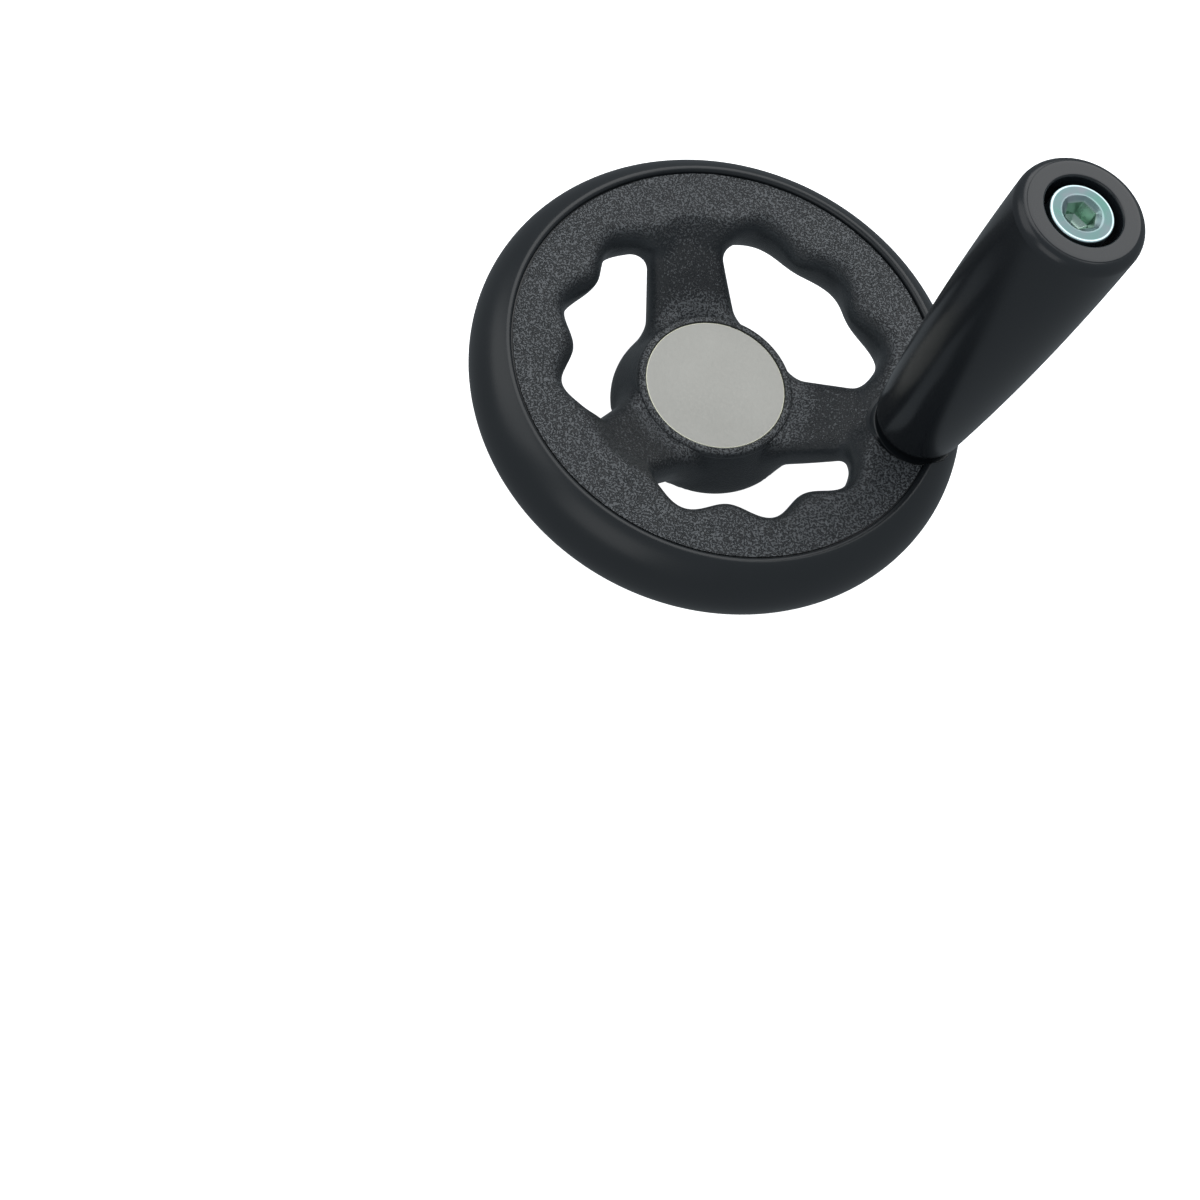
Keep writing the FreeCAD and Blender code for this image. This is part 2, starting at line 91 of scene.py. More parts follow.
# The hub round its sleeve: front ring, cone down to the shoulder, round lobe, neck and flange
SLEEVE_RADIUS = SLEEVE_HIGH[0]
HUB_FRONT = DISC_HIGH[2] + 0.3
DISC_RECESS = DISC_HIGH[0] + 0.05
RING_RADIUS = DISC_RECESS + 2.3
RING_ROUND = 1.5
SHOULDER_RADIUS = SLEEVE_RADIUS + 8.5
SHOULDER_HEIGHT = 17.8
SHOULDER_ROUND = 1.5
LOBE_ROUND = 4.95
LOBE_RADIUS = SLEEVE_RADIUS + 4.85
LOBE_HEIGHT = 17.1
NECK_RADIUS = SLEEVE_RADIUS + 2.8
NECK_HEIGHT = 14.4
FLANGE_RADIUS = SLEEVE_RADIUS + 3.6
FLANGE_BACK = WHEEL_LOW[2]
FLANGE_THICKNESS = 3.2
FLANGE_ROUND = 1.0

# Where the moulding's skin ends under the front ring and behind the neck
TUCK_DEPTH = 0.95
TUCK_FRONT = RING_RADIUS - 0.6
TUCK_BACK = NECK_RADIUS + 0.2

# The spokes: distance from the axis, half width, front and back at three places
SPOKE_COUNT = 3
SPOKE_START = 8.0
SPOKE_PLACES = (SLEEVE_RADIUS + 0.6, 32.0, RIM_RADIUS - 17.0)
SPOKE_HALVES = (12.8, 10.3, 9.5)
SPOKE_FRONTS = (HUB_FRONT - 3.0, RIM_MIDDLE + 3.5, RIM_MIDDLE + 9.9)
SPOKE_BACKS = (SPOKE_FRONTS[0] - 11.0, SPOKE_FRONTS[1] - 12.0, SPOKE_FRONTS[2] - 6.0)
SPOKE_ROUND = 4.7
FRONT_CROWN = 0.4
BACK_CROWN = 1.2
RIM_FILLET = 6.0
HUB_FILLET = 3.5

# The cap over the spokes' fillets: from this radius outwards it rises and lets go of them
CAP_RADIUS = 29.0
CAP_SLOPE = 2.0
CAP_ROUND = 0.4

# The handle: its axis, seats in front and behind, and the insert's hole
HANDLE_X = (GRIP_LOW[0] + GRIP_HIGH[0]) / 2
PAD_TOP = INSERT_HIGH[2]
PAD_RADIUS = 10.4
PAD_WALL = 4.5
PAD_STOP = RIM_RADIUS - 3.92
BOSS_FACE = INSERT_LOW[2]
BOSS_RADIUS = 9.4
BOSS_WALL = 11.0
SEAT_RADIUS = PAD_RADIUS + 1.0
SEAT_ROUND = 0.45
INSERT_RADIUS = (INSERT_HIGH[0] - INSERT_LOW[0]) / 2

# The grip: its foot, barrel, top edge and stepped bore
FOOT_RADIUS = 8.8
FOOT_HEIGHT = 4.6
FOOT_ROUND = 5.6
FOOT_CENTRE = (5.7, 4.66)
BARREL_LOW = 11.3
BARREL_CURVE = 780.0
EDGE_HEIGHT = 2.6
EDGE_ROUND = 2.5
TOP_FLAT = 11.7
GRIP_BORE = 5.06
COUNTERBORE = 8.2
COUNTERBORE_FLOOR = SPINDLE_HIGH[2] - 8.2
BORE_SEEN = 3.8
MOUTH_ROUND = 0.5

# The handle's screw: its head, socket, countersink and shank
HEAD_RADIUS = 6.75
HEAD_FLAT = 6.4
HEAD_HEIGHT = 8.0
SOCKET_HALF = 3.0
SOCKET_CORNER = 3.42
SOCKET_DEPTH = 4.5
SINK_RADIUS = 4.3
SINK_DEPTH = 0.75
SHANK_RADIUS = 5.0
SCREW_END = 14.0
END_RADIUS = 3.9

# The threads in the set screw's hole and in the insert, each as its major radius and its pitch
HOLE_TURN = math.radians(54.0)
HOLE_HEIGHT = 5.2
HOLE_START = 7.9
HOLE_STOP = 0.5
HOLE_THREAD = (3.0, 1.0)
INSERT_START = BOSS_FACE + 0.3
INSERT_LENGTH = 4.6
INSERT_THREAD = (4.0, 1.25)

# The overlap that closes a joint between two pieces, and the play where one is let into another
LAP = 0.05
PLAY = 0.02

# Numbers of sections and of points along them
ALONG_SEAM, ALONG_SPOKE, ALONG_HUB = 150, 36, 44
FRONT_STEPS, NOSE_STEPS = 13, 50
SEAT_STEPS = 180


# Distances to the moulding's solids, negative inside

def quadratic(places, values, at):
    """The parabola through three (place, value) points, held level beyond the outer two."""
    a, b, c = places
    at = np.clip(at, a, c)
    first = (values[1] - values[0]) / (b - a)
    second = ((values[2] - values[1]) / (c - b) - first) / (c - a)
    return values[0] + first * (at - a) + second * (at - a) * (at - b)


def round_meet(a, b, radius):
    """Common part of two solids: the larger distance, its outer edge rounded with the radius."""
    corner = np.hypot(np.maximum(a + radius, 0), np.maximum(b + radius, 0))
    return np.minimum(np.maximum(a, b), -radius) + corner


def round_join(a, b, radius):
    """Two solids together: the smaller distance, the inner corner filled with the radius."""
    corner = np.hypot(np.maximum(radius - a, 0), np.maximum(radius - b, 0))
    return np.maximum(np.minimum(a, b), radius) - corner


def band_height(r, inner=FRONT_INNER):
    """Distance of a band from the rim's middle: a straight line from its inner end to the seam."""
    return inner + (BAND_RISE - inner) * (r - BAND_START) / (SEAM_RADIUS - BAND_START)


def rim_field(x, y, z):
    """The rim inside its seam: a flat front band, a dished back one and a wavy inner wall.

    The wall's radius is a cosine of the angle. The dished band and the wall are scaled by the
    cosine of their slope, which makes the difference of heights or radii a true distance.
    """
    r = np.hypot(x, y)
    back_slope, wave_slope = 0.83, 0.96
    front = z - RIM_MIDDLE - band_height(r)
    back = back_slope * (RIM_MIDDLE - z - band_height(r, BACK_INNER))
    wave = WAVE_MIDDLE + WAVE_HEIGHT * np.cos(WAVE_COUNT * np.arctan2(y, x))
    return round_meet(np.maximum(front, back), wave_slope * (wave - r), RIM_ROUND)


def spoke_field(x, y, z, angle):
    """One spoke: a rounded bar whose half width, front and back are parabolas of the radius.

    Its faces are crowned: their depth shrinks with the square of the place across the spoke.
    """
    along = x * math.cos(angle) + y * math.sin(angle)
    across = np.abs(y * math.cos(angle) - x * math.sin(angle))
    half = quadratic(SPOKE_PLACES, SPOKE_HALVES, along)
    front = quadratic(SPOKE_PLACES, SPOKE_FRONTS, along)
    back = quadratic(SPOKE_PLACES, SPOKE_BACKS, along)
    lift = z - (front + back) / 2
    crown = np.where(lift > 0, FRONT_CROWN, BACK_CROWN) * (across / half) ** 2
    side = across - (half - SPOKE_ROUND)
    depth = np.abs(lift) + crown - ((front - back) / 2 - SPOKE_ROUND)
    outside = np.hypot(np.maximum(side, 0), np.maximum(depth, 0))
    bar = outside + np.minimum(np.maximum(side, depth), 0) - SPOKE_ROUND
    return np.maximum(bar, SPOKE_START - along)


def hub_field(x, y, z):
    """The hub: a cone from its front ring to a round lobe that turns in to the neck.

    The cone is a straight line through the ring's edge and the shoulder, turned about the axis.
    """
    r = np.hypot(x, y)
    rise = HUB_FRONT - RING_ROUND - SHOULDER_HEIGHT
    run = SHOULDER_RADIUS - RING_RADIUS
    tilt = math.hypot(rise, run)
    cone = ((r - SHOULDER_RADIUS) * rise + (z - SHOULDER_HEIGHT) * run) / tilt
    lobe = np.hypot(np.maximum(r - LOBE_RADIUS, 0), np.minimum(z - LOBE_HEIGHT, 0)) - LOBE_ROUND
    return round_meet(np.maximum(cone, z - HUB_FRONT + TUCK_DEPTH), lobe, SHOULDER_ROUND)


def moulding_field(x, y, z):
    """Rim, spokes and hub run together with fillets, kept clear of the hub's own rings."""
    r = np.hypot(x, y)
    spokes = spoke_field(x, y, z, 0.0)
    for k in range(1, SPOKE_COUNT):
        spokes = np.minimum(spokes, spoke_field(x, y, z, TURN * k / SPOKE_COUNT))
    body = round_join(rim_field(x, y, z), spokes, RIM_FILLET)
    body = round_join(body, hub_field(x, y, z), HUB_FILLET)
    cap = quadratic(SPOKE_PLACES, SPOKE_FRONTS, r) + CAP_SLOPE * np.maximum(r - CAP_RADIUS, 0)
    cap = np.minimum(cap, RIM_MIDDLE + band_height(np.maximum(r, BAND_START)))
    body = round_meet(body, z - cap, CAP_ROUND)
    return round_meet(body, NECK_HEIGHT - z, CAP_ROUND)


# Meshes

def mesh_object(name, points, faces, material):
    """A smooth-shaded object at the origin from points in millimetres."""
    mesh = bpy.data.meshes.new(name)
    mesh.from_pydata((points * MM).tolist(), [], faces.tolist())
    mesh.update()
    mesh.polygons.foreach_set("use_smooth", np.ones(len(mesh.polygons), bool))
    mesh.materials.append(material)
    piece = bpy.data.objects.new(name, mesh)
    bpy.context.scene.collection.objects.link(piece)
    return piece


def grid_faces(rows, columns, wrap_rows=False, wrap_columns=False):
    """Quads of a rows by columns grid of points, closed round either way where asked."""
    i = np.arange(rows if wrap_rows else rows - 1)
    j = np.arange(columns if wrap_columns else columns - 1)
    i, j = [a.ravel() for a in np.meshgrid(i, j, indexing="ij")]
    i2, j2 = (i + 1) % rows, (j + 1) % columns
    return np.stack([i * columns + j, i2 * columns + j, i2 * columns + j2, i * columns + j2], 1)


def around(count):
    """Evenly spaced directions of a full turn, as a column."""
    return np.linspace(0, TURN, count, endpoint=False)[:, None]


def ringed(reach, height, centre=0.0):
    """Points of rings about a vertical axis: reach by direction and ring, height by ring."""
    turn = around(len(reach))
    x, y = centre + reach * np.cos(turn), reach * np.sin(turn)
    return np.stack([x, y, np.broadcast_to(height, x.shape)], 2).reshape(-1, 3)


def turned(name, reach, height, material, centre=0.0, closed=False):
    """A skin over rings about a vertical axis, each as far out as reach says in each direction."""
    faces = grid_faces(*reach.shape, wrap_rows=True, wrap_columns=closed)
    piece = mesh_object(name, ringed(reach, height, centre), faces, material)
    close_seams(piece)
    return piece


def close_seams(piece):
    """Merges points that coincide, turns faces outwards and keeps true corners sharp."""
    merge_within, sharp_from = 0.02 * MM, math.radians(38.0)
    work = bmesh.new()
    work.from_mesh(piece.data)
    bmesh.ops.remove_doubles(work, verts=work.verts, dist=merge_within)
    bmesh.ops.recalc_face_normals(work, faces=work.faces)
    work.to_mesh(piece.data)
    work.free()
    piece.data.set_sharp_from_angle(angle=sharp_from)


def arc(centre, radius, start, end, count):
    """Points on a circle in the profile plane, angles in degrees from the radius direction."""
    angle = np.radians(np.linspace(start, end, count))
    return np.stack([centre[0] + radius * np.cos(angle), centre[1] + radius * np.sin(angle)], 1)


def line(start, end, count):
    """Evenly spaced points from start to end."""
    t = np.linspace(0, 1, count)[:, None]
    return np.asarray(start, float) * (1 - t) + np.asarray(end, float) * t


def joined(*runs):
    """Runs of points one after another, points that repeat left out."""
    points = np.concatenate(runs)
    keep = np.ones(len(points), bool)
    keep[1:] = np.hypot(*(points[1:] - points[:-1]).T) > 1e-6
    return points[keep]


# Node groups and materials

def new_group(name, inputs, outputs):
    """An empty shader node group with named inputs (name, kind, value) and outputs."""
    group = bpy.data.node_groups.new(name, "ShaderNodeTree")
    for label, kind, value in inputs:
        socket = group.interface.new_socket(name=label, in_out="INPUT", socket_type=kind)
        if value is not None:
            socket.default_value = value
    for label in outputs:
        group.interface.new_socket(name=label, in_out="OUTPUT", socket_type="NodeSocketFloat")
    start = group.nodes.new("NodeGroupInput")
    end = group.nodes.new("NodeGroupOutput")
    return group, start, end


def node(tree, kind, **values):
    """A node with its settings and, by socket name or number, its input values."""
    made = tree.nodes.new(kind)
    for key, value in values.items():
        if key == "inputs":
            for socket, number in value.items():
                made.inputs[socket].default_value = number
        else:
            setattr(made, key, value)
    return made


def math_node(tree, operation, first, second=None, third=None):
    """One Math node; each operand is a socket or a number."""
    made = node(tree, "ShaderNodeMath", operation=operation)
    for socket, value in zip(made.inputs, (first, second, third)):
        if value is None:
            continue
        if isinstance(value, (int, float)):
            socket.default_value = value
        else:
            tree.links.new(value, socket)
    return made.outputs[0]


def split(tree, vector):
    """The X, Y and Z outputs of a vector."""
    made = node(tree, "ShaderNodeSeparateXYZ")
    tree.links.new(vector, made.inputs[0])
    return made.outputs


def noise(tree, place, scale, **inputs):
    """Fractal noise at a place; the scale is a socket or a number."""
    made = node(tree, "ShaderNodeTexNoise", inputs=inputs)
    tree.links.new(place, made.inputs["Vector"])
    if isinstance(scale, float):
        made.inputs["Scale"].default_value = scale
    else:
        tree.links.new(scale, made.inputs["Scale"])
    return made.outputs


def leather_group():
    """Moulded leather grain: noise on warped places, cut to a labyrinth of low ridges.

    Lie moves how much of it stands up. Height has a finer noise on top of the ridges.
    """
    group, start, end = new_group(
        "moulded_grain",
        [("Vector", "NodeSocketVector", None), ("Size", "NodeSocketFloat", 1.0),
         ("Lie", "NodeSocketFloat", 0.0)],
        ["Height", "Ridge"])
    place = start.outputs["Vector"]
    warp = noise(group, place, 500.0, Detail=1.0)
    bend = node(group, "ShaderNodeVectorMath", operation="MULTIPLY_ADD")
    bend.inputs[1].default_value = (0.0008, 0.0008, 0.0008)
    group.links.new(warp["Color"], bend.inputs[0])
    group.links.new(place, bend.inputs[2])
    scale = math_node(group, "DIVIDE", 2200.0, start.outputs["Size"])
    maze = noise(group, bend.outputs[0], scale, Detail=1.5, Roughness=0.55)
    ridge = node(group, "ShaderNodeMapRange", interpolation_type="SMOOTHSTEP",
                 inputs={"From Min": 0.46, "From Max": 0.565})
    group.links.new(math_node(group, "ADD", maze["Fac"], start.outputs["Lie"]),
                    ridge.inputs["Value"])
    fine = noise(group, place, math_node(group, "MULTIPLY", scale, 2.3), Detail=2.0, Roughness=0.6)
    height = math_node(group, "MULTIPLY_ADD", fine["Fac"], 0.35, ridge.outputs["Result"])
    group.links.new(height, end.inputs["Height"])
    group.links.new(ridge.outputs["Result"], end.inputs["Ridge"])
    return group


def mottle_group():
    """Slow, faint unevenness of a surface, from 0 to 1."""
    group, start, end = new_group(
        "soft_mottle",
        [("Vector", "NodeSocketVector", None), ("Scale", "NodeSocketFloat", 60.0)], ["Fac"])
    cloud = noise(group, start.outputs["Vector"], start.outputs["Scale"],
                  Detail=4.0, Roughness=0.55)
    group.links.new(cloud["Fac"], end.inputs["Fac"])
    return group


def around_group():
    """Distance of a point from a vertical axis, for a finish that changes with the radius."""
    group, start, end = new_group(
        "distance_from_axis",
        [("Vector", "NodeSocketVector", None), ("Across", "NodeSocketFloat", 0.0)], ["Distance"])
    place = split(group, start.outputs["Vector"])
    x = math_node(group, "SUBTRACT", place["X"], start.outputs["Across"])
    square = math_node(group, "MULTIPLY_ADD", x, x,
                       math_node(group, "MULTIPLY", place["Y"], place["Y"]))
    group.links.new(math_node(group, "SQRT", square), end.inputs["Distance"])
    return group


LEATHER = leather_group()
MOTTLE = mottle_group()
AROUND = around_group()


def new_material(name, **values):
    """A material with a Principled shader, its constants set on the shader's own sockets."""
    material = bpy.data.materials.new(name)
    material.use_nodes = True
    tree = material.node_tree
    shader = tree.nodes["Principled BSDF"]
    for socket, value in values.items():
        shader.inputs[socket.replace("_", " ")].default_value = value
    place = node(tree, "ShaderNodeTexCoord")
    return material, tree, shader, place.outputs["Object"]


def use_group(tree, group, place, **values):
    """A placed node group fed with the object's own coordinates."""
    made = node(tree, "ShaderNodeGroup", node_tree=group, inputs=values)
    tree.links.new(place, made.inputs["Vector"])
    return made


def mottled(tree, place, scale):
    """The soft mottle at a scale."""
    return use_group(tree, MOTTLE, place, Scale=scale).outputs["Fac"]


def from_axis(tree, place, across=0.0):
    """Distance from the vertical axis that stands this many millimetres along X."""
    return use_group(tree, AROUND, place, Across=across * MM).outputs["Distance"]


def ranged(tree, value, low, high, to_low, to_high):
    """The value taken from one range to another, held at the ends."""
    made = node(tree, "ShaderNodeMapRange", inputs={
        "From Min": low, "From Max": high, "To Min": to_low, "To Max": to_high})
    tree.links.new(value, made.inputs["Value"])
    return made.outputs["Result"]


def blended(tree, factor, first, second):
    """A colour between two by a factor; each is a colour or a socket that gives one."""
    made = node(tree, "ShaderNodeMix", data_type="RGBA")
    tree.links.new(factor, made.inputs["Factor"])
    for label, colour in (("A", first), ("B", second)):
        if isinstance(colour, tuple):
            made.inputs[label].default_value = colour + (1,)
        else:
            tree.links.new(colour, made.inputs[label])
    return made.outputs["Result"]


def finish(tree, shader, colour, roughness):
    """Feeds the shader's colour and roughness."""
    tree.links.new(colour, shader.inputs["Base Color"])
    tree.links.new(roughness, shader.inputs["Roughness"])


def bumped(tree, shader, height, strength, distance):
    """A bump from a height in the material."""
    made = node(tree, "ShaderNodeBump", inputs={"Strength": strength, "Distance": distance})
    tree.links.new(height, made.inputs["Height"])
    tree.links.new(made.outputs["Normal"], shader.inputs["Normal"])


def gloss_black():
    """The smooth moulded skin of the rim: black with a soft satin sheen."""
    material, tree, shader, place = new_material(
        "smooth_black_moulding", Specular_IOR_Level=0.5, IOR=1.5)
    mottle = mottled(tree, place, 45.0)
    deep, pale = (0.0085, 0.0105, 0.0125), (0.012, 0.0145, 0.017)
    finish(tree, shader, blended(tree, mottle, deep, pale),
           ranged(tree, mottle, 0.3, 0.7, 0.27, 0.35))
    bumped(tree, shader, mottled(tree, place, 900.0), 0.08, 0.0001)
    return material


def grained_black():
    """The grained skin inside the seam, smooth again on the handle's pad and boss.

    The grain is dense on the band and round the hub's ring, sparse on the spokes, and fades
    where a face is steep, as it does where a mould opens. Its pale crests are partly a painted
    glint, so the sparse grain also paints the spokes darker (painted shade) and the dense grain
    paints the hub's flank lighter (painted light).
    """
    material, tree, shader, place = new_material(
        "grained_black_moulding", Specular_IOR_Level=0.5, IOR=1.5)
    # The crest colour is the grain's own pattern made pale as a painted glint on its ridges
    valley, crest = (0.008, 0.010, 0.012), (0.104, 0.110, 0.116)
    # A lighter base for steep faces: painted light that lifts the shade on the spokes' sides and the
    # hub's flank
    painted_fill_tone = (0.028, 0.033, 0.037)
    grain = use_group(tree, LEATHER, place, Size=1.0)
    middle = from_axis(tree, place)
    on_band = ranged(tree, middle, 35.0 * MM, 42.0 * MM, 0.0, 1.0)
    on_hub = ranged(tree, middle, 23.0 * MM, 27.0 * MM, 1.2, 0.0)
    # Grain density: partly the real sparser grain on the spokes, partly painted shade there and
    # painted light on the hub's flank
    dense = math_node(tree, "MAXIMUM", on_band, on_hub)
    tree.links.new(math_node(tree, "MULTIPLY_ADD", dense, 0.09, -0.065), grain.inputs["Lie"])
    seat_edge = ranged(tree, split(tree, place)["Z"], (RIM_MIDDLE - 0.1) * MM,
                       (RIM_MIDDLE + 0.1) * MM, BOSS_RADIUS * MM, SEAT_RADIUS * MM)
    past_seat = math_node(tree, "SUBTRACT", from_axis(tree, place, HANDLE_X), seat_edge)
    outside = ranged(tree, past_seat, 0.0, 0.15 * MM, 0.0, 1.0)
    normal = place.node.outputs["Normal"]
    level = math_node(tree, "ABSOLUTE", split(tree, normal)["Z"])
    rough = math_node(tree, "MULTIPLY", outside, ranged(tree, level, 0.5, 0.85, 0.12, 1.0))
    ridge = math_node(tree, "MULTIPLY", grain.outputs["Ridge"], rough)
    leather = blended(tree, ridge, valley, crest)
    # Steep faces take the lighter base, a painted light
    steep = ranged(tree, level, 0.5, 0.85, 1.0, 0.0)
    finish(tree, shader, blended(tree, steep, leather, painted_fill_tone),
           ranged(tree, rough, 0.0, 1.0, 0.3, 0.36))
    height = math_node(tree, "MULTIPLY", grain.outputs["Height"], rough)
    bumped(tree, shader, height, 1.0, 0.00034)
    return material


def polished_black():
    """The handle's polished skin: black, with clearer reflections than the rim's."""
    material, tree, shader, place = new_material(
        "polished_black_grip", Specular_IOR_Level=0.5, IOR=1.52)
    mottle = mottled(tree, place, 35.0)
    deep, pale = (0.0105, 0.0125, 0.015), (0.013, 0.0155, 0.0185)
    finish(tree, shader, blended(tree, mottle, deep, pale),
           ranged(tree, mottle, 0.3, 0.7, 0.2, 0.26))
    return material


def turned_metal(name, colour, roughness, across, rings, depth):
    """Lathe-turned metal: fine rings round an axis, with a faint change of tone between them.

    The rings are noise that reads only the distance from the axis and the height.
    """
    material, tree, shader, place = new_material(name, Metallic=1.0, Anisotropic=0.3)
    pair = node(tree, "ShaderNodeCombineXYZ")
    tree.links.new(from_axis(tree, place, across), pair.inputs["X"])
    tree.links.new(split(tree, place)["Z"], pair.inputs["Y"])
    groove = noise(tree, pair.outputs[0], rings, Detail=3.0)["Fac"]
    dull = tuple(0.82 * c for c in colour)
    finish(tree, shader, blended(tree, groove, dull, colour),
           ranged(tree, groove, 0.3, 0.7, roughness - 0.04, roughness + 0.06))
    bumped(tree, shader, groove, 0.35, depth)
    return material


def satin_disc():
    """The cover disc: rolled, matt satin metal with a fine grain, and a painted highlight along
    its edge that stands in for the light on its bevel.
    """
    material, tree, shader, place = new_material("satin_disc", Metallic=1.0)
    deep, pale, painted_edge_highlight = (0.295, 0.291, 0.270), (0.465, 0.460, 0.433), (0.80, 0.79, 0.64)
    fine, broad = mottled(tree, place, 1500.0), mottled(tree, place, 40.0)
    tone = math_node(tree, "MULTIPLY_ADD", fine, 0.5, math_node(tree, "MULTIPLY", broad, 0.5))
    # Painted highlight: a thin pale ring at the disc's edge, where its bevel would catch the light
    edge = ranged(tree, from_axis(tree, place), (DISC_HIGH[0] - 0.35) * MM,
                  (DISC_HIGH[0] - 0.2) * MM, 0.0, 1.0)
    finish(tree, shader, blended(tree, edge, blended(tree, tone, deep, pale), painted_edge_highlight),
           ranged(tree, fine, 0.3, 0.7, 0.5, 0.6))
    bumped(tree, shader, fine, 0.15, 0.00004)
    return material


def zinc_screw():
    """Zinc plating with a faint blue-green play of colour, greener and lighter down in the socket
    and everywhere below the head's top face. The top, which mirrors the lamps, is painted darker
    than
    the rest: painted shade.

    The head's outer edge and the countersink's edge are painted bright: painted glints.
    """
    material, tree, shader, place = new_material("zinc_plated_steel", Metallic=1.0)
    play = mottled(tree, place, 160.0)
    ramp = node(tree, "ShaderNodeValToRGB")
    tree.links.new(play, ramp.inputs["Fac"])
    stops = ramp.color_ramp.elements
    stops[0].position, stops[0].color = 0.36, (0.11, 0.23, 0.20, 1)
    stops[1].position, stops[1].color = 0.66, (0.19, 0.22, 0.24, 1)
    stops.new(0.5).color = (0.14, 0.22, 0.22, 1)
    # Below the top face the colour is lighter than on it: the lamp-lit top is painted darker, a
    # painted shade
    painted_light_below_top, bright = (0.42, 0.56, 0.44), (0.62, 0.78, 0.80)
    top = (SPINDLE_HIGH[2] - 0.5) * MM
    on_top = ranged(tree, split(tree, place)["Z"], top - 0.4 * MM, top, 0.0, 1.0)
    plated = blended(tree, on_top, painted_light_below_top, ramp.outputs["Color"])
    # Painted highlights: the head's outer edge and, fainter, the countersink's edge are coloured
    # bright as glints
    away = from_axis(tree, place, HANDLE_X)
    outer = ranged(tree, away, 6.1 * MM, 6.3 * MM, 0.0, 1.0)
    inner = ranged(tree, away, 4.35 * MM, 4.6 * MM, 0.3, 0.0)
    painted_glint = math_node(tree, "MAXIMUM", outer, inner)
    finish(tree, shader, blended(tree, painted_glint, plated, bright),
           ranged(tree, play, 0.3, 0.7, 0.24, 0.34))
    return material


RIM_BLACK = gloss_black()
WEB_BLACK = grained_black()
GRIP_BLACK = polished_black()
SLEEVE_METAL = turned_metal("turned_sleeve", (0.86, 0.85, 0.82), 0.3, 0.0, 2600.0, 0.00003)
BRASS = turned_metal("turned_brass", (0.78, 0.62, 0.32), 0.26, HANDLE_X, 3000.0, 0.00002)
DISC_METAL = satin_disc()
ZINC = zinc_screw()


# The wheel's moulding

def rays_to_surface(field, start, end):
    """Points between start, inside, and end, outside, where the field passes through nought.

    Each round halves the stretch that holds the surface.
    """
    rounds = 26
    near, far = np.zeros(start[0].shape), np.ones(start[0].shape)
    for _ in range(rounds):
        middle = (near + far) / 2
        inside = field(*[a + (b - a) * middle for a, b in zip(start, end)]) < 0
        near, far = np.where(inside, middle, near), np.where(inside, far, middle)
    return [a + (b - a) * near for a, b in zip(start, end)]


def waist_height(r):
    """Height of the moulding's widest line, round which its sections are fanned out.

    It is a straight line from the shoulder to the waves, held between two heights, and a second
    one that lifts it to the middle of the rim's inner edge.
    """
    at_hub, lowest, outset = 18.6, 17.5, 0.2
    lift_from, lift_run = 23.0, 16.0
    rise = (RIM_MIDDLE - at_hub) / (WAVE_MIDDLE - SHOULDER_RADIUS)
    low = np.clip(at_hub + rise * (r - SHOULDER_RADIUS - outset), lowest, RIM_MIDDLE)
    return low + (FRONT_INNER - BACK_INNER) / 2 * np.clip((r - lift_from) / lift_run, 0, 1)


def sector_edge(hub_radius):
    """Plan of the third of the wheel round one window, centred on the X axis.

    It runs along the seam, in along a spoke's middle, round the hub and out again.
    """
    half = math.pi / SPOKE_COUNT
    seam_turn = np.linspace(-half, half, ALONG_SEAM, endpoint=False)
    hub_turn = np.linspace(half, -half, ALONG_HUB, endpoint=False)
    inward = np.linspace(SEAM_RADIUS, hub_radius, ALONG_SPOKE, endpoint=False)
    outward = np.linspace(hub_radius, SEAM_RADIUS, ALONG_SPOKE, endpoint=False)
    r = np.concatenate([np.full(ALONG_SEAM, SEAM_RADIUS), inward,
                        np.full(ALONG_HUB, hub_radius), outward])
    turn = np.concatenate([seam_turn, np.full(ALONG_SPOKE, half),
                           hub_turn, np.full(ALONG_SPOKE, -half)])
    return np.stack([r * np.cos(turn), r * np.sin(turn)], 1)


